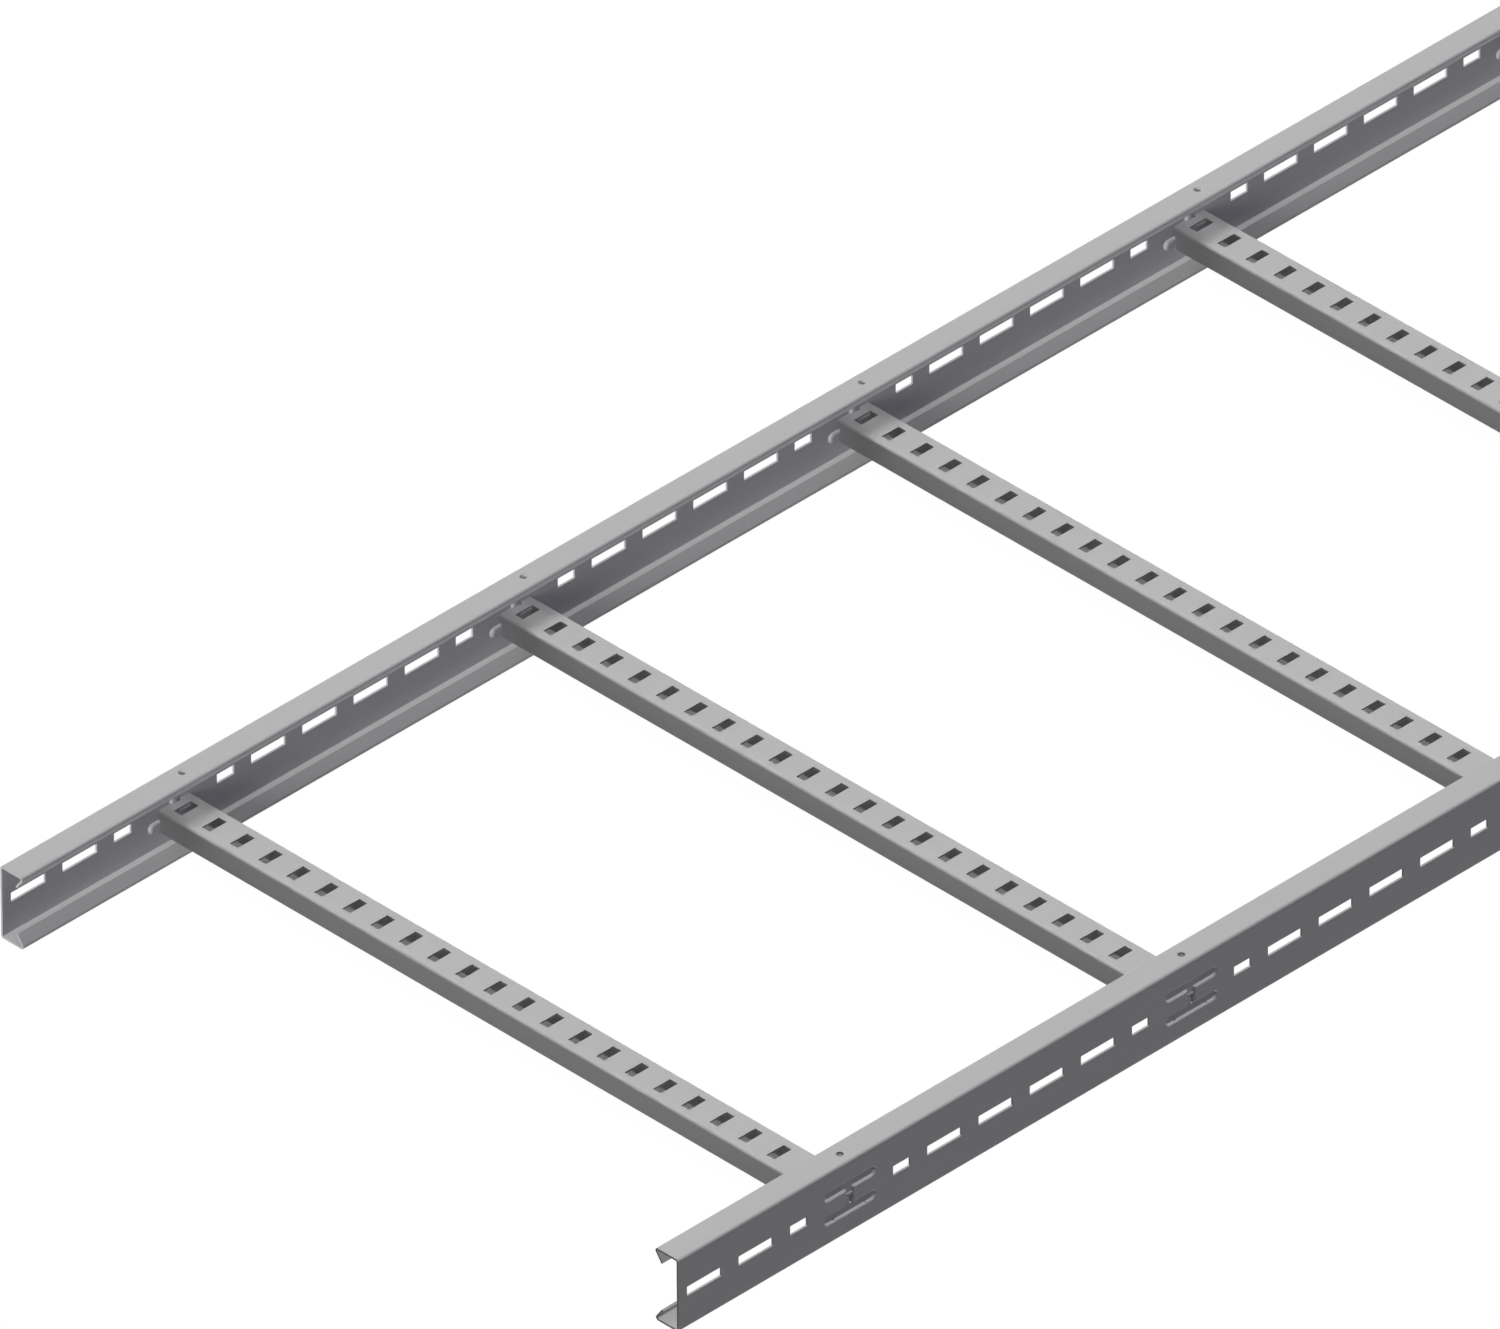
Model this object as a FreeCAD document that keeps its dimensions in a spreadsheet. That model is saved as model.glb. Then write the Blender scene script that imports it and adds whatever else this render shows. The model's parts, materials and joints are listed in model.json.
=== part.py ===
"""Cable ladder section: two lipped steel side rails and their press-jointed slotted rungs.

Millimetres. +X runs along the rails, +Y across them and +Z up. The origin is the middle of the section at the level
that the rails rest on. Every driving size stands once in the sheet "Sizes"; sketches and features read it from there.
"""

import FreeCAD, Part
import os
import re

import Sketcher
from FreeCAD import Rotation, Vector

SIZES = {
    # the section: its rails end half a pitch past the outer rungs, so the pitch runs on over a joint
    "rung_count": 10,
    "rung_pitch": 300.0,
    "ladder_width": 600.0,
    # side rail: an open channel whose flanges end in lips that lean back towards the web
    "rail_height": 55.0,
    "flange_width": 20.0,
    "rail_wall": 1.5,
    "rail_bend": 2.0,  # outside radius of the rolled corners
    "lip_length": 12.3,
    "lip_lean": 35.0,  # degrees from upright
    # coupling and fixing holes, repeated about every rung
    "web_slot_height": 7.0,
    "short_slot_length": 15.0,
    "short_slot_offset": 45.0,
    "long_slot_length": 30.0,
    "long_slot_offset": 82.5,
    "long_slot_pitch": 45.0,
    "slot_bridge": 15.0,  # least web left between the slots of neighbouring rungs
    "flange_hole": 5.0,
    "flange_hole_inset": 9.0,
    # press joint stamped into the web at each rung
    "joint_drop": 2.25,  # the joint's middle lies this far under the rung's top
    "groove_length": 45.0,
    "groove_height": 7.0,
    "groove_offset": 9.0,  # each groove's centre line above or below the middle of the joint
    "groove_depth": 1.8,
    "groove_slope": 25.0,  # degrees that the flanks lean from square to the web
    "link_width": 7.0,
    # rung: a lipped channel, open downwards
    "lip_gap": 1.9,  # from the rails' lower lips up to the rung
    "rung_width": 28.5,
    "rung_height": 17.5,
    "rung_wall": 1.25,
    "rung_bend": 2.0,
    "rung_lip": 9.0,
    "rung_slot_length": 15.0,
    "rung_slot_width": 7.0,
    "rung_slot_pitch": 25.0,
    "rung_slot_edge": 12.5,  # least distance from the ladder's side to a slot's middle
    # how the rung's end sits in the web
    "fit_gap": 0.1,
    "tongue_width": 5.0,
    "tongue_stand": 1.3,  # the tongue stands this far out of the link's floor
    "slit_width": 1.6,  # the tongue's window runs on down along one side
    "slit_length": 7.6,
}


def whole(amount):
    """The whole number of steps in an amount, safe against rounding."""
    return int(amount + 1e-6)


half_bay = (SIZES["rung_pitch"] - SIZES["slot_bridge"] - SIZES["long_slot_length"]) / 2
half_rung = SIZES["ladder_width"] / 2 - SIZES["rung_slot_edge"]
LONG_SLOTS = whole((half_bay - SIZES["long_slot_offset"]) / SIZES["long_slot_pitch"]) + 1
COUNTS = {"slot_count": whole(2 * half_rung / SIZES["rung_slot_pitch"]) + 1}

# heights and lengths that follow from the sizes
RAIL_LENGTH = "rung_count * rung_pitch"
RUNG_BOTTOM = "(lip_length * cos(lip_lean * 1 deg) + lip_gap)"
RUNG_TOP = f"({RUNG_BOTTOM} + rung_height)"
JOINT_HEIGHT = f"({RUNG_TOP} - joint_drop)"
UPPER_GROOVE = f"({JOINT_HEIGHT} + groove_offset)"
LOWER_GROOVE = f"({JOINT_HEIGHT} - groove_offset)"
WRAP = "(2 * rail_wall * (1 / cos(groove_slope * 1 deg) - tan(groove_slope * 1 deg)))"

doc = FreeCAD.newDocument("CableLadder")
sheet = doc.addObject("Spreadsheet::Sheet", "Sizes")
for row, (alias, number) in enumerate({**SIZES, **COUNTS}.items(), start=1):
    sheet.set(f"A{row}", alias)
    sheet.set(f"B{row}", str(number))
    sheet.setAlias(f"B{row}", alias)
doc.recompute()


def sized(text):
    """An expression in the sheet's names, as the document reads it."""
    return re.sub(r"[a-z]+(?:_[a-z]+)+", r"Sizes.\g<0>", text)


def value(text):
    """The number that an expression in the sheet's names gives now."""
    return float(sheet.evalExpression(sized(text)))


def bind(thing, **properties):
    """Bind properties to expressions; a double underscore stands for the dot of a sub-property."""
    for name, text in properties.items():
        thing.setExpression(name.replace("__", "."), sized(text))


def origin(body, role):
    """One of the body's own axes or planes."""
    return next(item for item in body.Origin.OriginFeatures if item.Role == role)


def new_sketch(body, name, role, level="0"):
    """A sketch on one of the body's planes, moved along that plane's normal."""
    sketch = body.newObject("Sketcher::SketchObject", name)
    sketch.AttachmentSupport = [(origin(body, role), "")]
    sketch.MapMode = "FlatFace"
    bind(sketch, AttachmentOffset__Base__z=level)
    return sketch


def dimension(sketch, kind, references, text):
    """Add a dimension that takes its number from an expression."""
    index = sketch.addConstraint(Sketcher.Constraint(kind, *references, value(text)))
    bind(sketch, **{f"Constraints[{index}]": text})


def pin(sketch, geometry, point, across, up):
    """Hold a point of a curve at a place measured from the sketch's origin."""
    dimension(sketch, "DistanceX", (-1, 1, geometry, point), across)
    dimension(sketch, "DistanceY", (-1, 1, geometry, point), up)


def polygon(sketch, corners):
    """A closed outline through corners given as pairs of expressions."""
    first, count = sketch.GeometryCount, len(corners)
    places = [Vector(value(across), value(up), 0) for across, up in corners]
    for start, end in zip(places, places[1:] + places[:1]):
        sketch.addGeometry(Part.LineSegment(start, end), False)
    for step in range(count):
        meeting = (first + step, 2, first + (step + 1) % count, 1)
        sketch.addConstraint(Sketcher.Constraint("Coincident", *meeting))
    for step, (across, up) in enumerate(corners):
        pin(sketch, first + step, 1, across, up)


def rectangle(sketch, across, up, length, height):
    """A rectangle about the middle (across, up)."""
    left, right = f"{across} - ({length}) / 2", f"{across} + ({length}) / 2"
    low, high = f"{up} - ({height}) / 2", f"{up} + ({height}) / 2"
    polygon(sketch, [(left, low), (right, low), (right, high), (left, high)])


def groove(sketch, across, up, length, height):
    """A bar about the middle (across, up) whose ends are rounded off by three chords each."""
    near, far = f"({height}) * tan(22.5 deg) / 2", f"({height}) / 2"
    ring = [(near, f"-{far}"), (far, f"-{near}"), (far, near), (near, far)]
    corners = []
    for side in "+-":
        end = f"{across} {side} (({length}) - ({height})) / 2"
        corners += [(f"{end} {side} {x}", f"{up} {side} ({y})") for x, y in ring]
    polygon(sketch, corners)


def pad(body, name, sketch, length, **settings):
    """Grow a sketch into a solid."""
    feature = body.newObject("PartDesign::Pad", name)
    feature.Profile = sketch
    for key, setting in settings.items():
        setattr(feature, key, setting)
    bind(feature, Length=length)
    return feature


def pocket(body, name, sketch, length):
    """Cut a sketch into the solid, and make sure that it did cut."""
    doc.recompute()
    before = body.Shape.Volume
    feature = body.newObject("PartDesign::Pocket", name)
    feature.Profile = sketch
    bind(feature, Length=length)
    doc.recompute()
    if not body.Shape.Volume < before - 1e-3:
        raise RuntimeError(f"{body.Label}: {name} removes nothing")
    return feature


def bend(body, name, base, corners, chord=False, **size):
    """Round the edges that run along the section at the given corners of its profile, or break each with a chord."""
    doc.recompute()
    names = []
    for index, edge in enumerate(base.Shape.Edges, start=1):
        ends = [vertex.Point for vertex in edge.Vertexes]
        for first, second in corners:
            corner = Vector(*(value(text) for text in first)), Vector(*(value(text) for text in second))
            if all(min(end.distanceToPoint(spot) for spot in corner) < 1e-4 for end in ends):
                names.append(f"Edge{index}")
    if len(names) != len(corners):
        raise RuntimeError(f"{body.Label}: {name} found {len(names)} of {len(corners)} corners")
    feature = body.newObject("PartDesign::Chamfer" if chord else "PartDesign::Fillet", name)
    feature.Base = (base, names)
    bind(feature, **size)
    return feature


def repeat(body, name, originals, axis, length, count):
    """Repeat features along one of the body's axes."""
    feature = body.newObject("PartDesign::LinearPattern", name)
    feature.Originals = originals
    feature.Direction = (origin(body, axis), [""])
    bind(feature, Length=length, Occurrences=count)
    body.Tip = feature
    return feature


def clone(label, body):
    """Another piece of the same shape, tied to the first one's features."""
    copy = doc.addObject("PartDesign::Body", label)
    base = copy.newObject("PartDesign::FeatureBase", f"{label}_base")
    base.BaseFeature = body
    copy.Tip = base
    return copy


def rail_section():
    """Corners of the rail's profile as (y from the web's outer face, z), round the outside and back inside."""
    lean = "lip_lean * 1 deg"
    corner = f"(flange_width + rail_bend * (1 / tan(45 deg - {lean} / 2) - 1))"
    tip = f"{corner} - lip_length * sin({lean})"
    drop = f"lip_length * cos({lean})"
    inner_tip = f"{tip} - rail_wall * cos({lean})"
    inner_drop = f"{drop} - rail_wall * sin({lean})"
    root = f"{corner} - rail_wall * (1 / cos({lean}) + tan({lean}))"
    upper = [
        ("0", "rail_height"),
        (corner, "rail_height"),
        (tip, f"rail_height - {drop}"),
        (inner_tip, f"rail_height - ({inner_drop})"),
        (root, "rail_height - rail_wall"),
        ("rail_wall", "rail_height - rail_wall"),
    ]
    lower = [
        ("rail_wall", "rail_wall"),
        (root, "rail_wall"),
        (inner_tip, inner_drop),
        (tip, drop),
        (corner, "0"),
        ("0", "0"),
    ]
    return upper + lower


def build_rail(label):
    """A side rail, with its web's outer face on its own XZ plane and its flanges towards +Y."""
    body = doc.addObject("PartDesign::Body", label)
    section = rail_section()
    sketch = new_sketch(body, f"{label}_section", "YZ_Plane")
    polygon(sketch, section)
    channel = pad(body, f"{label}_channel", sketch, RAIL_LENGTH, SideType="Symmetric")
    edges = [tuple((f"{end} * {RAIL_LENGTH} / 2", y, z) for end in (-1, 1)) for y, z in section]
    bend(body, f"{label}_bends", channel, [edges[i] for i in (0, 1, 10, 11)], Radius="rail_bend")

    station = "(1 - rung_count) * rung_pitch / 2"

    def strokes(name, level, growth, bar):
        """The joint's pressed strokes on one face of the web: its two bars, and the link between them."""
        bars = new_sketch(body, f"{label}_{name}_bars", "XZ_Plane", level)
        for height in (LOWER_GROOVE, UPPER_GROOVE):
            bar(bars, station, height, f"groove_length + {growth}", f"groove_height + {growth}")
        link = new_sketch(body, f"{label}_{name}_link", "XZ_Plane", level)
        rectangle(link, station, JOINT_HEIGHT, f"link_width + {growth}", "2 * groove_offset")
        return bars, link

    pressed = []
    for index, stroke in enumerate(strokes("ridge", "-rail_wall", WRAP, rectangle)):
        pressed.append(pad(body, f"{label}_ridge_{index}", stroke, "groove_depth", Reversed=True))
        bind(pressed[-1], TaperAngle="-groove_slope")
    for index, stroke in enumerate(strokes("groove", "0", "0", groove)):
        pressed.append(pocket(body, f"{label}_groove_{index}", stroke, "groove_depth"))
        bind(pressed[-1], TaperAngle="-groove_slope")

    through = "rail_wall + groove_depth"
    sketch = new_sketch(body, f"{label}_window_plan", "XZ_Plane")
    side, top = "(tongue_width / 2 + fit_gap)", f"{RUNG_TOP} + fit_gap"
    shelf = f"{RUNG_TOP} - rung_wall - fit_gap"
    window = [(f"-{side}", top), (f"-{side}", shelf), (f"{side} - slit_width", shelf),
              (f"{side} - slit_width", f"{shelf} - slit_length"), (side, f"{shelf} - slit_length"), (side, top)]
    polygon(sketch, [(f"{station} + {across}", up) for across, up in window])
    slit = pocket(body, f"{label}_window", sketch, through)

    sketch = new_sketch(body, f"{label}_web_slot_plan", "XZ_Plane")
    for sign in "-+":
        rectangle(sketch, f"{station} {sign} short_slot_offset", "rail_height / 2",
                  "short_slot_length", "web_slot_height")
        for step in range(LONG_SLOTS):
            rectangle(sketch, f"{station} {sign} (long_slot_offset + {step} * long_slot_pitch)", "rail_height / 2",
                      "long_slot_length", "web_slot_height")
    slots = pocket(body, f"{label}_web_slots", sketch, through)

    sketch = new_sketch(body, f"{label}_hole_plan", "XY_Plane", "rail_height")
    sketch.addGeometry(Part.Circle(Vector(value(station), value("flange_hole_inset"), 0), Vector(0, 0, 1), 1), False)
    pin(sketch, 0, 3, station, "flange_hole_inset")
    dimension(sketch, "Diameter", (0,), "flange_hole")
    hole = pocket(body, f"{label}_flange_hole", sketch, "rail_height / 2")

    repeat(body, f"{label}_stations", [*pressed, slit, slots, hole], "X_Axis",
           "(rung_count - 1) * rung_pitch", "rung_count")
    return body


def rung_section():
    """Corners of the rung's profile as (x from its middle, z): a channel open downwards, with lips."""
    top, bottom = RUNG_TOP, RUNG_BOTTOM
    half = [
        ("rung_lip - rung_width / 2", bottom),
        ("-rung_width / 2", bottom),
        ("-rung_width / 2", top),
        ("-(rung_width / 2 - rung_wall)", f"{top} - rung_wall"),
        ("-(rung_width / 2 - rung_wall)", f"{bottom} + rung_wall"),
        ("rung_lip - rung_width / 2", f"{bottom} + rung_wall"),
    ]
    other = [(f"-({x})", z) for x, z in half]
    return half[:3] + other[2::-1] + other[:2:-1] + half[3:]


def build_rung(label):
    """A rung whose ends butt the webs, with a tongue let into each web."""
    body = doc.addObject("PartDesign::Body", label)
    section = rung_section()
    reach = "(ladder_width / 2 - groove_depth + tongue_stand)"
    sketch = new_sketch(body, f"{label}_section", "XZ_Plane")
    polygon(sketch, section)
    channel = pad(body, f"{label}_channel", sketch, f"2 * {reach}", SideType="Symmetric")
    edges = [tuple((x, f"{end} * {reach}", z) for end in (-1, 1)) for x, z in section]
    bend(body, f"{label}_bends", channel, [edges[i] for i in (1, 2, 3, 4)], chord=True,
         Size="rung_bend * (2 - sqrt(2))")

    middle = f"{RUNG_TOP} - rung_height / 2"

    tongue = ("0", f"{RUNG_TOP} - rung_wall / 2", "tongue_width", "rung_wall")
    trim = new_sketch(body, f"{label}_trim_plan", "XZ_Plane", "-(ladder_width / 2 - rail_wall)")
    rectangle(trim, "0", middle, "rung_width + 2 * rung_wall", "rung_height + 2 * rung_wall")
    rectangle(trim, *tongue)
    butt = pocket(body, f"{label}_butt", trim, "rail_wall + tongue_stand")

    relief = new_sketch(body, f"{label}_relief_plan", "XZ_Plane",
                        "-(ladder_width / 2 - rail_wall - groove_depth - fit_gap)")
    rectangle(relief, "0", LOWER_GROOVE, "rung_width + 2 * rung_wall", f"groove_height + {WRAP} + 2 * fit_gap")
    rectangle(relief, "0", RUNG_TOP, f"link_width + {WRAP} + 2 * fit_gap", "4 * rung_wall")
    rectangle(relief, *tongue)
    notches = pocket(body, f"{label}_notches", relief, "groove_depth + rail_wall + tongue_stand")
    other_end = body.newObject("PartDesign::Mirrored", f"{label}_other_end")
    other_end.Originals = [butt, notches]
    other_end.MirrorPlane = (origin(body, "XZ_Plane"), [""])
    body.Tip = other_end

    sketch = new_sketch(body, f"{label}_slot_plan", "XY_Plane", RUNG_TOP)
    rectangle(sketch, "0", "(1 - slot_count) * rung_slot_pitch / 2", "rung_slot_length", "rung_slot_width")
    slot = pocket(body, f"{label}_slot", sketch, "rung_height / 2")
    repeat(body, f"{label}_slots", [slot], "Y_Axis", "(slot_count - 1) * rung_slot_pitch", "slot_count")
    return body


right_rail = build_rail("side_rail_right")
left_rail = clone("side_rail_left", right_rail)
left_rail.Placement.Rotation = Rotation(Vector(0, 0, 1), 180)
bind(right_rail, Placement__Base__y="-ladder_width / 2")
bind(left_rail, Placement__Base__y="ladder_width / 2")
rungs = [build_rung("rung_01")]
rungs += [clone(f"rung_{number:02d}", rungs[0]) for number in range(2, SIZES["rung_count"] + 1)]
for step, rung in enumerate(rungs):
    bind(rung, Placement__Base__x=f"({step} - (rung_count - 1) / 2) * rung_pitch")
bodies = [left_rail, right_rail, *rungs]
doc.recompute()

for item in doc.Objects:
    if {"Invalid", "Error"} & set(item.State):
        raise RuntimeError(f"{item.Name}: {item.State}")
for body in bodies:
    if body.Shape.isNull() or not body.Shape.isValid() or len(body.Shape.Solids) != 1:
        raise RuntimeError(f"{body.Label} is not one valid solid")

os.makedirs("parts", exist_ok=True)
for body in bodies:
    body.Shape.exportStep(f"parts/{body.Label}.step")
    print(body.Label, round(body.Shape.Volume), body.Shape.BoundBox)
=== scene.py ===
"""Looks of the cable ladder section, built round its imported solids.

The finished meshes are in metres, and the classes of pieces hold their sizes in millimetres. +X runs along the rails,
+Y across them, +Z up. Every visible sheet is worked out as an outer face and an inner face on one grid of stations,
joined round its edges and holes, so it is closed and has its real wall.
"""

import json
import logging
import math
from dataclasses import dataclass, field
from enum import Enum
from typing import Sequence

import bmesh
import bpy
import numpy as np
from mathutils import Matrix, Vector

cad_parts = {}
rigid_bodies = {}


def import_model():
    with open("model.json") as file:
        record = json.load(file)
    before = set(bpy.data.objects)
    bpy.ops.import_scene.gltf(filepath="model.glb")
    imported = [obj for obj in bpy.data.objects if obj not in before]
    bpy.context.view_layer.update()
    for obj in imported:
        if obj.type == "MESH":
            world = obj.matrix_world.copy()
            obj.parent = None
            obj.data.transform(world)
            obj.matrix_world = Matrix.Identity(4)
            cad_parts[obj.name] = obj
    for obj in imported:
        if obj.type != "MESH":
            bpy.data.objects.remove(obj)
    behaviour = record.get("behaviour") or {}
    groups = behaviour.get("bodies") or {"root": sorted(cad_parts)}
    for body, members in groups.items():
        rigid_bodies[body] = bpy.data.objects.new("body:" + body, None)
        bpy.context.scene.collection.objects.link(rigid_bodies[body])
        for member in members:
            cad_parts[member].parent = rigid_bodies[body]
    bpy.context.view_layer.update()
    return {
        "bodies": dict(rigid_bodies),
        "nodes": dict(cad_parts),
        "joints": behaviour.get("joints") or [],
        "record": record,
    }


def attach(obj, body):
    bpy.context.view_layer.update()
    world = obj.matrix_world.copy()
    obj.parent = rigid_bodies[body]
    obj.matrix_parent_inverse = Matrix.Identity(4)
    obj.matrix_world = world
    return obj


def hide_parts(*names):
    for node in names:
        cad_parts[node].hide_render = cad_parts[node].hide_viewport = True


LOG = logging.getLogger("cable_ladder")
MM = 0.001  # a millimetre in metres
FLAT = 1e-6  # millimetres: a point this near a face lies in it
WELD = 2e-6  # metres: points this near each other are one
LEAST_ARC_STEPS = 3


class Side(Enum):
    """Which side of the ladder a rail stands on, as the sign of its y."""

    RIGHT = -1
    LEFT = 1


class MeshParts:
    """Points and faces gathered piece by piece, welded into one mesh at the end."""

    def __init__(self) -> None:
        """Start empty."""
        self.points: list[np.ndarray] = []
        self.faces: list[list[int]] = []
        self.count = 0

    def add(self, points: np.ndarray, faces: Sequence[Sequence[int]] | np.ndarray) -> None:
        """Add one patch.

        Args:
            points: Its points, one a row, in millimetres.
            faces: Its faces as indices into those points.
        """
        start = self.count
        if isinstance(faces, np.ndarray):
            self.faces.extend((faces + start).tolist())
        else:
            self.faces.extend([[corner + start for corner in face] for face in faces])
        self.points.append(points.reshape(-1, 3))
        self.count += len(self.points[-1])

    def mesh(self, name: str, place: Matrix, crease_deg: float = 32.0) -> bpy.types.Mesh:
        """Weld the patches, turn every face outwards and put the mesh in place.

        Args:
            name: The mesh's name.
            place: Turn and shift of the piece, in metres.
            crease_deg: Edges sharper than this stay crisp; the rest are shaded smooth.

        Returns:
            The finished mesh.
        """
        mesh = bpy.data.meshes.new(name)
        mesh.from_pydata(np.concatenate(self.points) * MM, [], self.faces)
        work = bmesh.new()
        work.from_mesh(mesh)
        bmesh.ops.remove_doubles(work, verts=work.verts, dist=WELD)
        bmesh.ops.recalc_face_normals(work, faces=work.faces)
        work.to_mesh(mesh)
        work.free()
        mesh.transform(place)
        mesh.shade_smooth()
        mesh.set_sharp_from_angle(angle=math.radians(crease_deg))
        mesh.update()
        return mesh


def shell(outer: np.ndarray, inner: np.ndarray, keep: np.ndarray, patched: np.ndarray | None = None,
          open_edge: bool = False) -> np.ndarray:
    """Faces of a walled sheet given on a grid: both faces of every kept cell, and a wall round every free edge.

    Args:
        outer: Points of the outer face, rows by columns by 3. The inner face's points follow it in the point list.
        inner: Points of the inner face, of the same shape.
        keep: Rows - 1 by columns - 1; false where the sheet is cut away.
        patched: True where another patch fills the cell, so no wall stands at its edge.
        open_edge: True for a patch that is sewn into another sheet, so its outline gets no wall.

    Returns:
        Quads, one a row.
    """
    rows, columns = outer.shape[:2]
    top = np.arange(rows * columns).reshape(rows, columns)
    low = top + rows * columns
    patched = np.zeros_like(keep) if patched is None else patched
    solid = keep & ~patched
    quads = []
    for grid, turn in ((top, 1), (low, -1)):
        ring = np.stack([grid[:-1, :-1], grid[:-1, 1:], grid[1:, 1:], grid[1:, :-1]], -1)[solid]
        quads.append(ring[:, ::turn])
    full = np.pad(keep | patched, 1, constant_values=open_edge)
    across = full[1:-1, :-1] != full[1:-1, 1:]
    along = full[:-1, 1:-1] != full[1:, 1:-1]
    i, j = np.nonzero(across)
    quads.append(np.stack([top[i, j], top[i + 1, j], low[i + 1, j], low[i, j]], -1))
    i, j = np.nonzero(along)
    quads.append(np.stack([top[i, j], top[i, j + 1], low[i, j + 1], low[i, j]], -1))
    return np.concatenate(quads)


def rolled_path(corners: Sequence[tuple[float, float]], radius: float, wall: float, step_deg: float,
                knots: dict[int, Sequence[float]]) -> tuple[np.ndarray, np.ndarray]:
    """The line of a rolled sheet and the line a wall's thickness inside it.

    Each corner becomes an arc about one centre: the outer line at the bend's radius, the inner one a wall less. The
    centre stands back from the corner by radius * tan(turn / 2) along both straights.

    Args:
        corners: The outer line's sharp corners and two ends, in order, with the inside on the right.
        radius: Outside radius of every bend.
        wall: Sheet thickness.
        step_deg: Turn between the stations of an arc.
        knots: For a straight, by its place in the line, distances from its first corner that get a station.

    Returns:
        The outer and the inner stations, each n by 2.
    """
    spots = np.array(corners, float)
    runs = np.diff(spots, axis=0)
    lengths = np.linalg.norm(runs, axis=1)
    ways = runs / lengths[:, None]
    inwards = np.stack([ways[:, 1], -ways[:, 0]], -1)
    outer, inner = [], []
    for number, (spot, way, inward) in enumerate(zip(spots[:-1], ways, inwards)):
        stops = [0.0] if number == 0 else []
        stops += list(knots.get(number, ()))
        stops += [lengths[number]] if number == len(ways) - 1 else []
        line = spot + np.array(stops)[:, None] * way if stops else np.empty((0, 2))
        outer.append(line)
        inner.append(line + wall * inward)
        if number < len(ways) - 1:
            turn = math.acos(float(np.clip(way @ ways[number + 1], -1, 1)))
            centre = spots[number + 1] - way * radius * math.tan(turn / 2) + inward * radius
            angles = np.linspace(0, turn, max(LEAST_ARC_STEPS, round(math.degrees(turn) / step_deg)) + 1)[:, None]
            rays = -inward * np.cos(angles) + way * np.sin(angles)
            outer.append(centre + radius * rays)
            inner.append(centre + (radius - wall) * rays)
    return np.concatenate(outer), np.concatenate(inner)


def pressed_flank(inside: np.ndarray, depth: float, slope: float, foot: float, crest: float) -> np.ndarray:
    """Depth across a pressed flank: level, an arc, a straight slope, an arc and level again.

    An arc of radius r that turns by a touches the straights r * tan(a / 2) from the sharp corner. The foot's corner
    lies at 0 and the crest's where the slope reaches the full depth.

    Args:
        inside: Distance inside the sharp outline.
        depth: Full depth.
        slope: Lean of the flank from square to the sheet, in radians.
        foot: Radius of the first arc.
        crest: Radius of the second arc.

    Returns:
        Depth at each distance.
    """
    turn, run = math.pi / 2 - slope, depth * math.tan(slope)
    reach = np.array([foot, crest]) * math.tan(turn / 2)
    first = inside + reach[0]
    last = run + reach[1] - inside
    rise_in = foot - np.sqrt(np.clip(foot ** 2 - first ** 2, 0, None))
    rise_out = depth - crest + np.sqrt(np.clip(crest ** 2 - last ** 2, 0, None))
    profile = inside / math.tan(slope)
    profile = np.where(inside < reach[0] * math.cos(turn), rise_in, profile)
    profile = np.where(inside > run - reach[1] * math.cos(turn), rise_out, profile)
    return np.where(first <= 0, 0.0, np.where(last <= 0, depth, profile))


@dataclass(frozen=True)
class PressJoint:
    """Two grooves and the link between them, pressed into the web where a rung's end is let in."""

    groove_length: float = 45.0
    groove_height: float = 7.0
    groove_offset: float = 9.0
    depth: float = 1.8
    slope_deg: float = 25.0
    link_width: float = 7.0
    half_length: float = 25.0
    half_height: float = 15.0
    rim_bend: float = 1.5
    tight_bend: float = 0.5
    ridge_wrap: float = 0.45
    ridge_foot: float = 0.1
    ridge_bend: float = 2.95
    tongue_half: float = 2.6
    meeting: float = 0.6

    def inside(self, x: np.ndarray, z: np.ndarray) -> np.ndarray:
        """How far a point lies inside the joint's outline.

        For a groove it is its end radius less the distance to its middle line; for the link, the distance to the
        nearer side. The outline is the larger of the three, rounded where they meet.

        Args:
            x: Along the rail from the joint's middle.
            z: Up from the joint's middle.

        Returns:
            Distance, negative outside.
        """
        radius = self.groove_height / 2
        beyond = np.maximum(np.abs(x) - (self.groove_length / 2 - radius), 0)
        grooves = radius - np.hypot(beyond, np.abs(z) - self.groove_offset)
        link = np.minimum(self.link_width / 2 - np.abs(x), self.groove_offset - np.abs(z))
        gap = np.maximum(self.meeting - np.abs(grooves - link), 0)
        return np.maximum(grooves, link) + gap * gap / (4 * self.meeting)

    def press(self, x: np.ndarray, z: np.ndarray, inner_face: bool = False) -> np.ndarray:
        """How deep a face of the web is pressed in.

        The flank rises with the distance inside the outline, up to the full depth, and its foot and crest are
        rounded. The outer face has a rounded rim and a tight crest. On the inner face the outline is ridge_wrap
        larger, the foot is nearly sharp and the crest is a wide round ridge.

        Args:
            x: Along the rail from the joint's middle.
            z: Up from the joint's middle.
            inner_face: True for the web's inner face, false for its outer one.

        Returns:
            Depth at each point.
        """
        slope = math.radians(self.slope_deg)
        inside = self.inside(x, z)
        if inner_face:
            return pressed_flank(inside + self.ridge_wrap, self.depth, slope, self.ridge_foot, self.ridge_bend)
        return pressed_flank(inside, self.depth, slope, self.rim_bend, self.tight_bend)


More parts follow.
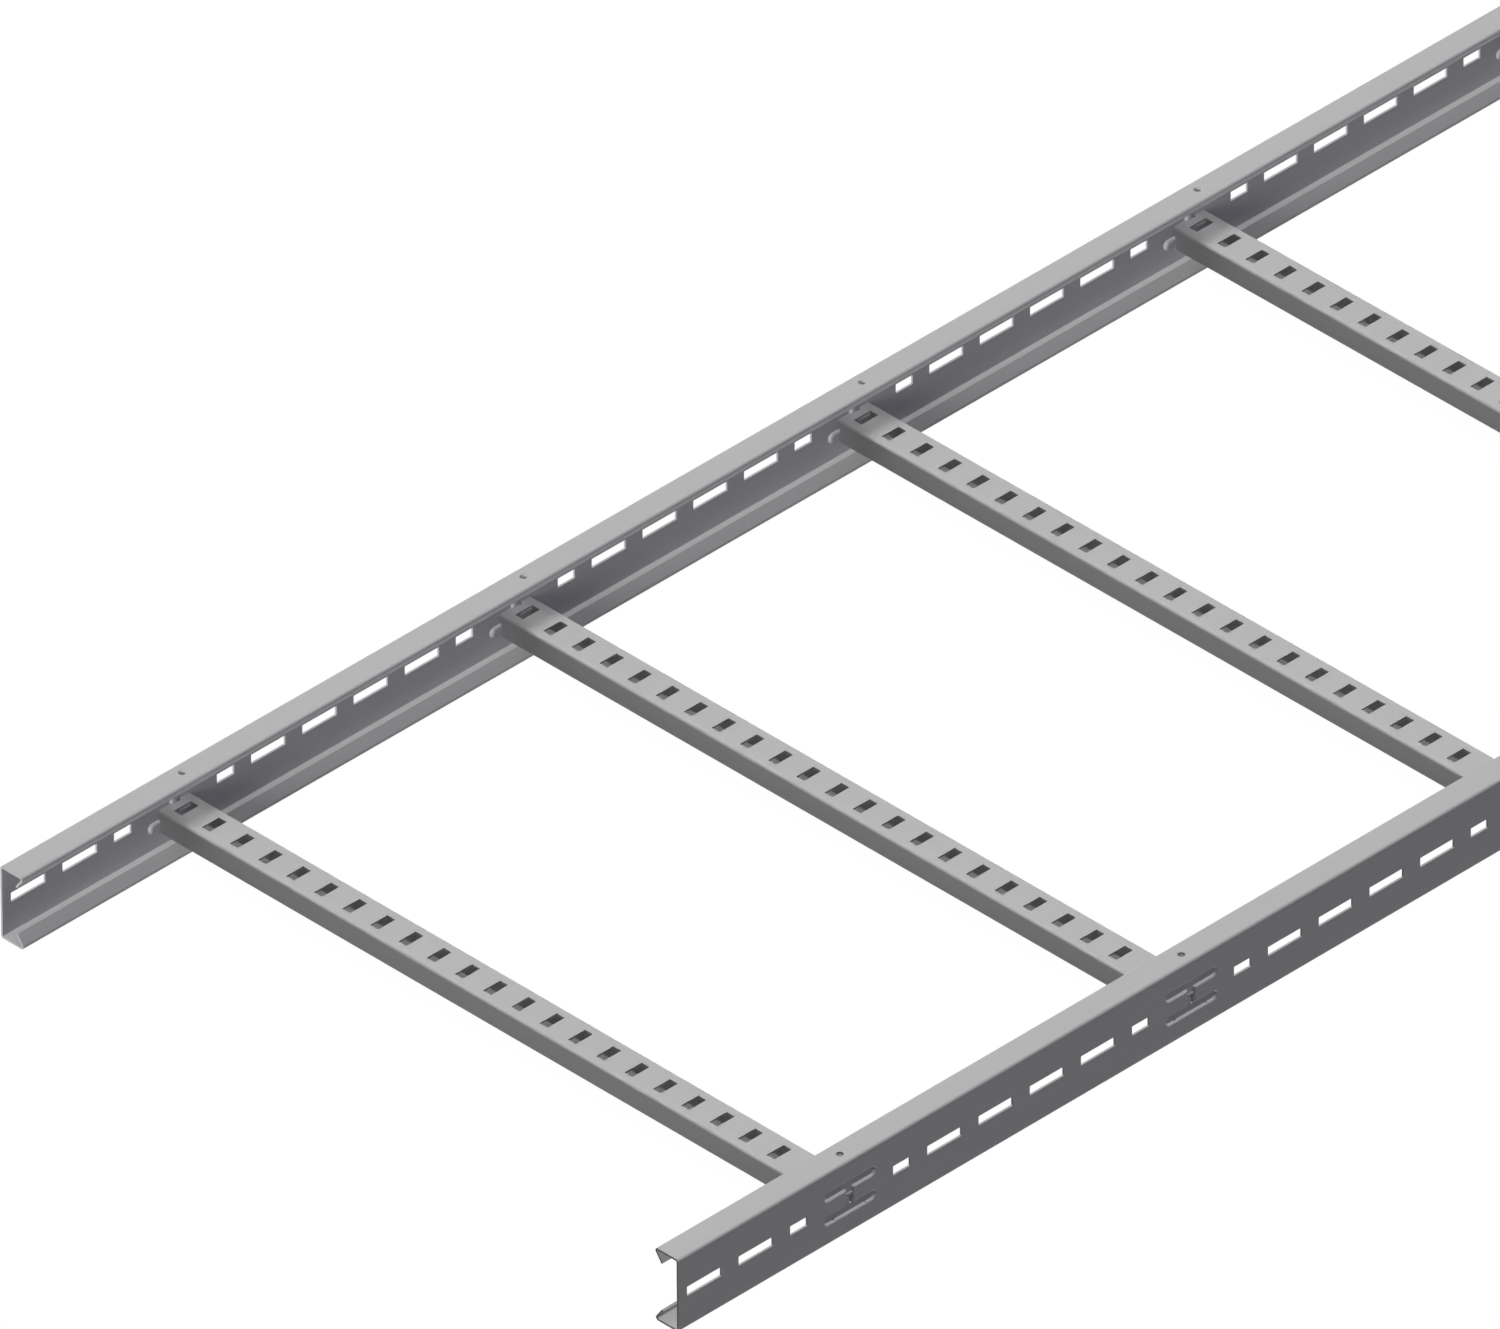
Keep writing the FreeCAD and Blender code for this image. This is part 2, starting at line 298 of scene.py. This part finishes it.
@dataclass
class SideRail:
    """One side rail: a lipped channel with its slots, flange holes and press joints."""

    side: Side
    finish: bpy.types.Material
    rung_count: int = 10
    rung_pitch: float = 300.0
    ladder_width: float = 600.0
    height: float = 55.0
    flange: float = 20.0
    wall: float = 1.5
    bend: float = 2.0
    lip: float = 12.3
    lean_deg: float = 35.0
    slot_height: float = 7.0
    short_slots: tuple[float, ...] = (-45.0, 45.0)
    short_length: float = 15.0
    long_slots: tuple[float, ...] = (-127.5, -82.5, 82.5, 127.5)
    long_length: float = 30.0
    hole: float = 5.0
    hole_inset: float = 9.0
    hole_cell: float = 3.6
    arc_step_deg: float = 11.0
    joint_height: float = 27.2256
    joint: PressJoint = field(default_factory=PressJoint)
    # Windows at a joint, as (left, right) from its middle and (low, high) from the floor: the tongue's, the slit
    # under one side of it, and one for each tip.
    windows: tuple[tuple[float, float, float, float], ...] = (
        (-2.6, 2.6, 28.1256, 29.5756), (1.0, 2.6, 20.5256, 28.1256),
        (-14.35, -12.9, 14.6256, 16.8256), (12.9, 14.35, 14.6256, 16.8256))
    # The fine grid about a joint, from its middle: single stations, and runs as (first, last, count).
    patch_inset: tuple[float, float] = (1.0, 0.6)
    across_plain: tuple[float, ...] = (0.0, 1.0, 7.0, 10.0, 12.9, 14.35, 16.6)
    across_link: tuple[float, float, int] = (2.2, 5.4, 11)
    across_end: tuple[float, float, int] = (18.2, 23.7, 16)
    up_flank: tuple[float, float, int] = (1.9, 5.0, 10)
    up_floor: tuple[float, float] = (0.0, 0.9)
    up_link: float = 1.9
    edge_clearance: float = 0.06
    least_step: float = 0.02

    def stations(self) -> np.ndarray:
        """The middle of every joint along the rail."""
        return (np.arange(self.rung_count) - (self.rung_count - 1) / 2) * self.rung_pitch

    def section(self) -> tuple[np.ndarray, np.ndarray]:
        """The line of the rolled section, with stations at the slots, the joint's frame and the flange hole's cell.

        A lip turns by a right angle and its lean. Its sharp corner lies bend * (tan(turn / 2) - 1) past the flange's
        width, so that its arc just reaches that width.

        Returns:
            Outer and inner line, each n by 2 as (y from the web's face, z).
        """
        lean = math.radians(self.lean_deg)
        corner = self.flange + self.bend * (1 / math.tan(math.pi / 4 - lean / 2) - 1)
        tip, drop = corner - self.lip * math.sin(lean), self.lip * math.cos(lean)
        low, high = self.joint_height - self.joint.half_height, self.joint_height + self.joint.half_height
        slot = self.height / 2 - self.slot_height / 2
        around = (self.hole_inset - self.hole_cell, self.hole_inset + self.hole_cell)
        corners = [(tip, drop), (corner, 0), (0, 0), (0, self.height), (corner, self.height),
                   (tip, self.height - drop)]
        knots = {2: (low, slot, slot + self.slot_height, high), 3: around}
        return rolled_path(corners, self.bend, self.wall, self.arc_step_deg, knots)

    def channel(self, parts: MeshParts) -> None:
        """The rolled channel: the section carried along x, less its slots, holes and the cells of its patches.

        Args:
            parts: Where the channel's points and faces go.
        """
        outer, inner = self.section()
        half = self.rung_count * self.rung_pitch / 2
        cuts = [(middle, self.short_length) for middle in self.short_slots]
        cuts += [(middle, self.long_length) for middle in self.long_slots]
        local = [edge for middle, length in cuts for edge in (middle - length / 2, middle + length / 2)]
        local += [-self.joint.half_length, self.joint.half_length, -self.hole_cell, self.hole_cell]
        lines = np.unique(np.concatenate([[-half, half], (self.stations()[:, None] + np.array(local)).ravel()]))
        mid_x = (lines[1:] + lines[:-1]) / 2
        near = mid_x[:, None] - self.stations()
        near = near[np.arange(len(mid_x)), np.abs(near).argmin(1)][None]
        mid = (outer[1:] + outer[:-1]) / 2
        y, z = mid[:, :1], mid[:, 1:]
        web = y < FLAT
        in_slot = web & (np.abs(z - self.height / 2) < self.slot_height / 2)
        cut = np.zeros((len(mid), len(mid_x)), bool)
        for middle, length in cuts:
            cut |= in_slot & (np.abs(near - middle) < length / 2)
        joint = web & (np.abs(z - self.joint_height) < self.joint.half_height)
        joint = joint & (np.abs(near) < self.joint.half_length)
        cell = (z > self.height - FLAT) & (np.abs(y - self.hole_inset) < self.hole_cell)
        cell = cell & (np.abs(near) < self.hole_cell)
        grids = []
        for line in (outer, inner):
            grid = np.empty((len(line), len(lines), 3))
            grid[..., 0], grid[..., 1:] = lines, line[:, None, :]
            grids.append(grid)
        faces = shell(grids[0], grids[1], ~cut, joint | cell)
        parts.add(np.concatenate([grid.reshape(-1, 3) for grid in grids]), faces)

    def joint_patch(self, parts: MeshParts, station: float) -> None:
        """The pressed part of the web about one rung, on a fine grid, framed out to the channel's own stations.

        Args:
            parts: Where the patch's points and faces go.
            station: The middle of the joint along the rail.
        """
        joint = self.joint
        span, rise = joint.half_length - self.patch_inset[0], joint.half_height - self.patch_inset[1]
        side = np.concatenate([(*self.across_plain, span)]
                              + [np.linspace(*fine) for fine in (self.across_link, self.across_end)])
        side = np.unique(np.round(np.append(side, joint.tongue_half), 4))
        x = np.concatenate([-side[:0:-1], side])
        band = np.concatenate([np.linspace(*self.up_flank), self.up_floor])
        levels = np.concatenate([sign * joint.groove_offset + turn * band for sign in (-1, 1) for turn in (-1, 1)])
        levels = np.concatenate([levels, [-rise, -self.up_link, 0.0, self.up_link, rise]])
        edges = np.array([edge - self.joint_height for box in self.windows for edge in box[2:]])
        levels = levels[np.abs(levels[:, None] - edges).min(1) > self.edge_clearance]
        levels = np.append(levels, edges)
        z = np.unique(np.round(levels[np.abs(levels) <= rise], 4))
        z = z[np.append(True, np.diff(z) > self.least_step)]
        gx, gz = np.meshgrid(x, z)
        outer = np.stack([gx + station, joint.press(gx, gz), gz + self.joint_height], -1)
        inner = np.stack([gx + station, self.wall + joint.press(gx, gz, inner_face=True), gz + self.joint_height], -1)
        mid_x, mid_z = (x[1:] + x[:-1]) / 2, (z[1:] + z[:-1])[:, None] / 2 + self.joint_height
        keep = np.ones((len(z) - 1, len(x) - 1), bool)
        for left, right, low, high in self.windows:
            keep &= ~((mid_x > left) & (mid_x < right) & (mid_z > low) & (mid_z < high))
        parts.add(np.concatenate([outer.reshape(-1, 3), inner.reshape(-1, 3)]),
                  shell(outer, inner, keep, open_edge=True))
        slot = self.height / 2 - self.slot_height / 2 - self.joint_height
        knots = [-joint.half_height, slot, slot + self.slot_height, joint.half_height]
        half = joint.half_length
        frames = [[(sign * half, knot) for knot in knots] + [(sign * span, level) for level in z[::-1]]
                  for sign in (-1, 1)]
        frames += [[(-half, knots[end])] + [(across, level) for across in x] + [(half, knots[end])]
                   for end, level in ((0, -rise), (-1, rise))]
        for frame in frames:
            flat = np.array(frame, float)
            for depth in (0.0, self.wall):
                points = np.column_stack([flat[:, 0] + station, np.full(len(flat), depth),
                                          flat[:, 1] + self.joint_height])
                parts.add(points, [list(range(len(flat)))])

    def hole_patch(self, parts: MeshParts, station: float, steps: int = 10) -> None:
        """The top flange about one round hole: four quarter frames on each face, and the hole's wall.

        A quarter runs from one corner of the square cell to the next, and back along a quarter of the circle
        (r cos a, r sin a).

        Args:
            parts: Where the patch's points and faces go.
            station: The middle of the hole along the rail.
            steps: Stations in each quarter of the circle.
        """
        reach, radius = self.hole_cell, self.hole / 2
        for quarter in range(4):
            start = math.pi / 4 + quarter * math.pi / 2
            angle = np.linspace(start, start + math.pi / 2, steps + 1)
            ring = radius * np.stack([np.cos(angle), np.sin(angle)], -1)
            square = reach * math.sqrt(2) * np.array([[math.cos(a), math.sin(a)] for a in (angle[-1], angle[0])])
            frame = np.concatenate([ring, square])
            for level in (self.height, self.height - self.wall):
                points = np.column_stack([frame[:, 0] + station, frame[:, 1] + self.hole_inset,
                                          np.full(len(frame), level)])
                parts.add(points, [list(range(len(frame)))])
            wall = np.stack([np.column_stack([ring[:, 0] + station, ring[:, 1] + self.hole_inset,
                                              np.full(len(ring), level)])
                             for level in (self.height, self.height - self.wall)])
            low = np.arange(steps)
            parts.add(wall, np.stack([low, low + 1, low + steps + 2, low + steps + 1], -1))

    def build(self) -> bpy.types.Object:
        """Make the rail's sheet and set it on its side of the ladder.

        Returns:
            The rail's object.
        """
        parts = MeshParts()
        self.channel(parts)
        for station in self.stations():
            self.joint_patch(parts, float(station))
            self.hole_patch(parts, float(station))
        turn = Matrix.Rotation(math.pi, 4, "Z") if self.side is Side.LEFT else Matrix.Identity(4)
        place = Matrix.Translation((0, self.side.value * self.ladder_width / 2 * MM, 0)) @ turn
        name = f"{self.side.name.lower()}_rail_sheet"
        mesh = parts.mesh(name, place)
        mesh.materials.append(self.finish)
        rail = bpy.data.objects.new(name, mesh)
        bpy.context.scene.collection.objects.link(rail)
        return rail


@dataclass
class Rung:
    """One rung: a slotted channel, open downwards, whose ends are let into the webs."""

    finish: bpy.types.Material
    pitch: float = 300.0
    count: int = 10
    ladder_width: float = 600.0
    width: float = 28.5
    height: float = 17.5
    bottom: float = 11.9756
    wall: float = 1.25
    bend: float = 2.0
    lip: float = 9.0
    slot_length: float = 15.0
    slot_width: float = 7.0
    slot_pitch: float = 25.0
    slot_count: int = 24
    butt: float = 298.5
    reach: float = 299.5
    relief: float = 296.6
    tip_end: float = 297.5
    tongue_half: float = 2.5
    notch_half: float = 3.8
    notch_flare: float = 0.4663
    flare_depth: float = 1.875
    arc_step_deg: float = 13.0
    side_depth: float = 1.9
    relief_band: tuple[float, float] = (13.0, 22.78)
    tip_band: tuple[float, float] = (14.7256, 16.7256)

    def build(self, number: int) -> bpy.types.Object:
        """Make one rung's sheet in its place.

        The section runs in rows and the length in columns; cells are cut for the slots and round the two ends.

        Args:
            number: Place along the ladder, from 1.

        Returns:
            The rung's object.
        """
        side, top = self.width / 2, self.bottom + self.height
        corners = [(self.lip - side, self.bottom), (-side, self.bottom), (-side, top),
                   (side, top), (side, self.bottom), (side - self.lip, self.bottom)]
        rise = [level - self.bottom for level in (*self.tip_band, self.relief_band[1])]
        fall = [self.height - step for step in rise[::-1]]
        marks = (-self.slot_length / 2, -self.notch_half, -self.tongue_half, self.tongue_half, self.notch_half,
                 self.slot_length / 2)
        knots = {1: rise, 2: [side + mark for mark in marks], 3: fall}
        outer, inner = rolled_path(corners, self.bend, self.wall, self.arc_step_deg, knots)
        middles = (np.arange(self.slot_count) - (self.slot_count - 1) / 2) * self.slot_pitch
        ends = [self.reach, self.butt, self.tip_end, self.relief]
        half_slot = self.slot_width / 2
        lines = np.unique(np.concatenate([middles - half_slot, middles + half_slot, ends, [-end for end in ends]]))
        mid_y = ((lines[1:] + lines[:-1]) / 2)[None]
        mid = (outer[1:] + outer[:-1]) / 2
        x, z = mid[:, :1], mid[:, 1:]
        on_top, on_side = z > top - FLAT, np.abs(x) > side - self.side_depth
        slot = np.zeros((len(mid), mid_y.shape[1]), bool)
        for middle in middles:
            slot |= on_top & (np.abs(x) < self.slot_length / 2) & (np.abs(mid_y - middle) < half_slot)
        tongue = on_top & (np.abs(x) < self.tongue_half)
        tip = (np.abs(x) > side - FLAT) & (z > self.tip_band[0]) & (z < self.tip_band[1])
        band = on_side & (z > self.relief_band[0]) & (z < self.relief_band[1])
        notch = band | (on_top & (np.abs(x) < self.notch_half))
        far = np.abs(mid_y)
        cut = slot | (notch & ~tongue & ~tip & (far > self.relief))
        cut |= tip & (far > self.tip_end)
        cut |= ~tongue & (far > self.butt)
        grids = []
        for line in (outer, inner):
            grid = np.empty((len(line), len(lines), 3))
            grid[..., 0], grid[..., 1], grid[..., 2] = line[:, :1], lines, line[:, 1:]
            edge = (np.abs(np.abs(grid[..., 0]) - self.notch_half) < FLAT) & (grid[..., 2] > top - self.flare_depth)
            past = np.clip(np.abs(grid[..., 1]) - self.relief, 0, None)
            grid[..., 0] += np.where(edge, np.sign(grid[..., 0]) * past * self.notch_flare, 0)
            grids.append(grid)
        parts = MeshParts()
        parts.add(np.concatenate([grid.reshape(-1, 3) for grid in grids]), shell(grids[0], grids[1], ~cut))
        shift = (number - 1 - (self.count - 1) / 2) * self.pitch * MM
        name = f"rung_sheet_{number:02d}"
        mesh = parts.mesh(name, Matrix.Translation((shift, 0, 0)))
        mesh.materials.append(self.finish)
        rung = bpy.data.objects.new(name, mesh)
        bpy.context.scene.collection.objects.link(rung)
        return rung


class Grain(Enum):
    """Which way a strip was rolled, as the scale of its streaks along x, y and z, per metre."""

    ALONG_RAIL = (5.0, 380.0, 380.0)
    ALONG_RUNG = (380.0, 5.0, 380.0)


@dataclass(frozen=True)
class ZincCoat:
    """Dull hot-dip zinc on rolled steel strip: faint spangle, drifting tone and the streaks of rolling."""

    name: str
    grain: Grain
    colour: tuple[float, float, float] = (0.43, 0.43, 0.435)
    metallic: float = 0.02
    specular: float = 0.2
    roughness: tuple[float, float] = (0.45, 0.57)
    cloud_scale: float = 6.0
    cloud_detail: float = 3.0
    streak_detail: float = 2.0
    spangle_scale: float = 150.0
    cloud_depth: float = 0.07
    spangle_depth: float = 0.022
    streak_depth: float = 0.04
    relief: float = 0.00004

    def build(self) -> bpy.types.Material:
        """Make the node material.

        The tone is 1 plus the sum of each pattern's depth times its value less a half. It scales the colour.

        Returns:
            The material.
        """
        material = bpy.data.materials.new(self.name)
        material.use_nodes = True
        tree = material.node_tree
        shader = tree.nodes["Principled BSDF"]
        shader.inputs["Metallic"].default_value = self.metallic
        shader.inputs["Specular IOR Level"].default_value = self.specular
        place = tree.nodes.new("ShaderNodeTexCoord").outputs["Object"]
        rolled = tree.nodes.new("ShaderNodeMapping")
        rolled.inputs["Scale"].default_value = self.grain.value
        tree.links.new(place, rolled.inputs["Vector"])
        cloud = self._noise(tree, place, self.cloud_scale, self.cloud_detail)
        streak = self._noise(tree, rolled.outputs["Vector"], 1.0, self.streak_detail)
        cells = tree.nodes.new("ShaderNodeTexVoronoi")
        cells.inputs["Scale"].default_value = self.spangle_scale
        tree.links.new(place, cells.inputs["Vector"])
        spangle = tree.nodes.new("ShaderNodeRGBToBW")
        tree.links.new(cells.outputs["Color"], spangle.inputs["Color"])
        patterns = ((cloud, self.cloud_depth), (spangle.outputs["Val"], self.spangle_depth),
                    (streak, self.streak_depth))
        tone = None
        for pattern, depth in patterns:
            step = tree.nodes.new("ShaderNodeMath")
            step.operation = "MULTIPLY_ADD"
            step.inputs[1].default_value = depth
            step.inputs[2].default_value = 1 - sum(share for _, share in patterns) / 2
            tree.links.new(pattern, step.inputs[0])
            if tone is not None:
                tree.links.new(tone, step.inputs[2])
            tone = step.outputs[0]
        tint = tree.nodes.new("ShaderNodeVectorMath")
        tint.operation = "SCALE"
        tint.inputs[0].default_value = self.colour
        tree.links.new(tone, tint.inputs["Scale"])
        tree.links.new(tint.outputs["Vector"], shader.inputs["Base Color"])
        dull = tree.nodes.new("ShaderNodeMapRange")
        dull.inputs["To Min"].default_value, dull.inputs["To Max"].default_value = self.roughness
        tree.links.new(spangle.outputs["Val"], dull.inputs["Value"])
        tree.links.new(dull.outputs["Result"], shader.inputs["Roughness"])
        bump = tree.nodes.new("ShaderNodeBump")
        bump.inputs["Distance"].default_value = self.relief
        tree.links.new(streak, bump.inputs["Height"])
        tree.links.new(bump.outputs["Normal"], shader.inputs["Normal"])
        return material

    @staticmethod
    def _noise(tree: bpy.types.NodeTree, place: bpy.types.NodeSocket, scale: float,
               detail: float) -> bpy.types.NodeSocket:
        """A soft cloudy pattern between 0 and 1.

        Args:
            tree: The material's nodes.
            place: Where the pattern is read.
            scale: Size of the pattern: larger is finer.
            detail: How many finer layers lie over it.

        Returns:
            The pattern's value.
        """
        noise = tree.nodes.new("ShaderNodeTexNoise")
        noise.inputs["Scale"].default_value = scale
        noise.inputs["Detail"].default_value = detail
        tree.links.new(place, noise.inputs["Vector"])
        return noise.outputs["Fac"]


class Share(Enum):
    """Whose pieces a lamp lights, and whose cast its shadows, by how their names begin: all where that is empty."""

    ALL = ("", "")
    FAR_RAIL = ("side_rail_left", "")
    FAR_RAIL_SHADED_BY_RUNGS = ("side_rail_left", "rung")
    FAR_RAIL_SHADED_BY_RAILS = ("side_rail_left", "side_rail")
    NEAR_RAIL = ("side_rail_right", "")
    RAILS_SHADED_BY_RAILS = ("side_rail", "side_rail")
    RUNGS = ("rung", "")


@dataclass(frozen=True)
class Lamp:
    """A distant studio lamp, and the side that it shines from."""

    name: str
    side: tuple[float, float, float]
    energy: float
    spread_deg: float = 30.0
    shadow: bool = False
    share: Share = Share.ALL
    colour: tuple[float, float, float] = (1.0, 1.0, 1.0)


KEY_SIDE = (0.05, 0.33, 0.94)
FRONT_SIDE = (0.0, -0.35, 0.94)
LAMPS = (
    Lamp("key", KEY_SIDE, 1.2),
    Lamp("key_soft", KEY_SIDE, 0.36, 60.0, True),
    Lamp("far_rail_key", KEY_SIDE, 0.3, 60.0, True, Share.FAR_RAIL_SHADED_BY_RAILS),
    Lamp("far_rail_fill", FRONT_SIDE, 0.35, share=Share.FAR_RAIL),
    Lamp("rung_key", KEY_SIDE, 1.25, share=Share.RUNGS),
    Lamp("front_fill", FRONT_SIDE, 0.2),
    Lamp("lip_fill", (0.0, -0.13, -0.99), 1.3, 20.0, True, Share.RAILS_SHADED_BY_RAILS),
    Lamp("far_rail_side", (-0.95, -0.1, 0.28), 3.0, 30.0, True, Share.FAR_RAIL_SHADED_BY_RUNGS),
    Lamp("near_rail_top", (0.0, -0.15, 0.99), 1.45, share=Share.NEAR_RAIL),
    Lamp("rung_far_side", (-0.7, 0.7, 0.15), 0.95, 80.0, True, Share.RUNGS),
    Lamp("rung_near_side", (-0.8, -0.6, 0.1), 0.45, 50.0, True, Share.RUNGS),
    Lamp("cool_fill", (0.0, -1.0, 0.0), 0.1, colour=(0.0, 0.1, 1.0)),
)


@dataclass
class Studio:
    """Floor, lamps and camera."""

    floor_size: float = 60.0
    floor_tone: float = 0.2
    floor_white: float = 0.9
    room_tone: float = 0.01
    floor_roughness: float = 0.9
    lens: float = 1500.0
    sensor: float = 36.0
    clip: tuple[float, float] = (1.0, 200.0)
    place: tuple[float, float, float] = (-23.501895, -22.658888, 22.579732)
    back: tuple[float, float, float] = (-0.574470, -0.582048, 0.575504)
    upward: tuple[float, float, float] = (0.409111, 0.404801, 0.817780)

    def build(self, pieces: dict[str, bpy.types.Object]) -> None:
        """Lay the floor, hang the lamps and set the camera.

        Args:
            pieces: The ladder's pieces by their nodes' names, for the lamps that light only some of them.
        """
        bpy.context.scene.view_settings.view_transform = "Standard"
        self._floor()
        self._world()
        self._lamps(pieces)
        self._camera()

    @staticmethod
    def _seen(tree: bpy.types.NodeTree) -> bpy.types.NodeSocket:
        """A factor of 1 for rays that show the background: straight, mirrored or through glass.

        Args:
            tree: The nodes it is added to.

        Returns:
            The factor, 0 for all other rays.
        """
        path = tree.nodes.new("ShaderNodeLightPath")
        first = tree.nodes.new("ShaderNodeMath")
        second = tree.nodes.new("ShaderNodeMath")
        for node in (first, second):
            node.operation = "MAXIMUM"
        tree.links.new(path.outputs["Is Camera Ray"], first.inputs[0])
        tree.links.new(path.outputs["Is Glossy Ray"], first.inputs[1])
        tree.links.new(first.outputs[0], second.inputs[0])
        tree.links.new(path.outputs["Is Transmission Ray"], second.inputs[1])
        return second.outputs[0]

    def _floor(self) -> None:
        """A pale floor under the ladder, white where no shadow falls."""
        half = self.floor_size / 2
        mesh = bpy.data.meshes.new("floor")
        mesh.from_pydata([(-half, -half, 0), (half, -half, 0), (half, half, 0), (-half, half, 0)], [], [(0, 1, 2, 3)])
        floor = bpy.data.objects.new("floor", mesh)
        bpy.context.scene.collection.objects.link(floor)
        material = bpy.data.materials.new("pale_floor")
        material.use_nodes = True
        tree = material.node_tree
        shader = tree.nodes["Principled BSDF"]
        shader.inputs["Base Color"].default_value = (self.floor_tone,) * 3 + (1,)
        shader.inputs["Roughness"].default_value = self.floor_roughness
        shader.inputs["Specular IOR Level"].default_value = 0.0
        shader.inputs["Emission Color"].default_value = (1, 1, 1, 1)
        glow = tree.nodes.new("ShaderNodeMath")
        glow.operation = "MULTIPLY"
        glow.inputs[1].default_value = self.floor_white
        tree.links.new(self._seen(tree), glow.inputs[0])
        tree.links.new(glow.outputs[0], shader.inputs["Emission Strength"])
        mesh.materials.append(material)

    def _world(self) -> None:
        """Dim even surroundings that show as white."""
        world = bpy.data.worlds.new("studio")
        bpy.context.scene.world = world
        world.use_nodes = True
        tree = world.node_tree
        sky = tree.nodes["Background"]
        sky.inputs["Color"].default_value = (1, 1, 1, 1)
        share = tree.nodes.new("ShaderNodeMapRange")
        share.inputs["To Min"].default_value = self.room_tone
        share.inputs["To Max"].default_value = 1.0
        tree.links.new(self._seen(tree), share.inputs["Value"])
        tree.links.new(share.outputs["Result"], sky.inputs["Strength"])

    @staticmethod
    def _group(pieces: dict[str, bpy.types.Object], start: str) -> bpy.types.Collection:
        """The pieces whose nodes' names begin alike, as one collection for a lamp to light or be shaded by.

        Args:
            pieces: The ladder's pieces by their nodes' names.
            start: What the names begin with.

        Returns:
            The collection, made when it is first asked for.
        """
        name = f"{start}_pieces"
        group = bpy.data.collections.get(name)
        if group is None:
            group = bpy.data.collections.new(name)
            for piece_name, piece in pieces.items():
                if piece_name.startswith(start):
                    group.objects.link(piece)
        return group

    def _lamps(self, pieces: dict[str, bpy.types.Object]) -> None:
        """Hang every lamp so that it shines from its own side.

        Args:
            pieces: The ladder's pieces by their nodes' names.
        """
        for lamp in LAMPS:
            data = bpy.data.lights.new(lamp.name, "SUN")
            data.energy, data.color = lamp.energy, lamp.colour
            data.angle = math.radians(lamp.spread_deg)
            data.use_shadow = lamp.shadow
            holder = bpy.data.objects.new(lamp.name, data)
            holder.rotation_euler = Vector(lamp.side).to_track_quat("Z", "Y").to_euler()
            if lamp.share is not Share.ALL:
                lit, shading = lamp.share.value
                holder.light_linking.receiver_collection = self._group(pieces, lit)
                if shading:
                    holder.light_linking.blocker_collection = self._group(pieces, shading)
            bpy.context.scene.collection.objects.link(holder)

    def _camera(self) -> None:
        """A long lens that looks down along the cube's diagonal."""
        back, upward = Vector(self.back).normalized(), Vector(self.upward).normalized()
        right = upward.cross(back).normalized()
        upward = back.cross(right)
        data = bpy.data.cameras.new("view")
        data.lens, data.sensor_width = self.lens, self.sensor
        data.clip_start, data.clip_end = self.clip
        camera = bpy.data.objects.new("view", data)
        camera.matrix_world = Matrix.Translation(self.place) @ Matrix((right, upward, back)).transposed().to_4x4()
        bpy.context.scene.collection.objects.link(camera)
        bpy.context.scene.camera = camera


def main() -> None:
    """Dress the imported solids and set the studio."""
    logging.basicConfig(level=logging.INFO)
    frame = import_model()
    rail_zinc = ZincCoat("rail_zinc", Grain.ALONG_RAIL).build()
    rung_zinc = ZincCoat("rung_zinc", Grain.ALONG_RUNG).build()
    pieces = {f"side_rail_{side.name.lower()}": SideRail(side, rail_zinc).build() for side in Side}
    rung = Rung(rung_zinc)
    pieces.update({f"rung_{number:02d}": rung.build(number) for number in range(1, rung.count + 1)})
    for node, piece in pieces.items():
        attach(piece, "root")
        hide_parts(node)
        LOG.info("%s stands for %s with %d faces", piece.name, node, len(piece.data.polygons))
    for name, node in frame["nodes"].items():
        node.data.materials.clear()
        node.data.materials.append(rung_zinc if name.startswith("rung") else rail_zinc)
    Studio().build(pieces)


if __name__ == "__main__":
    main()
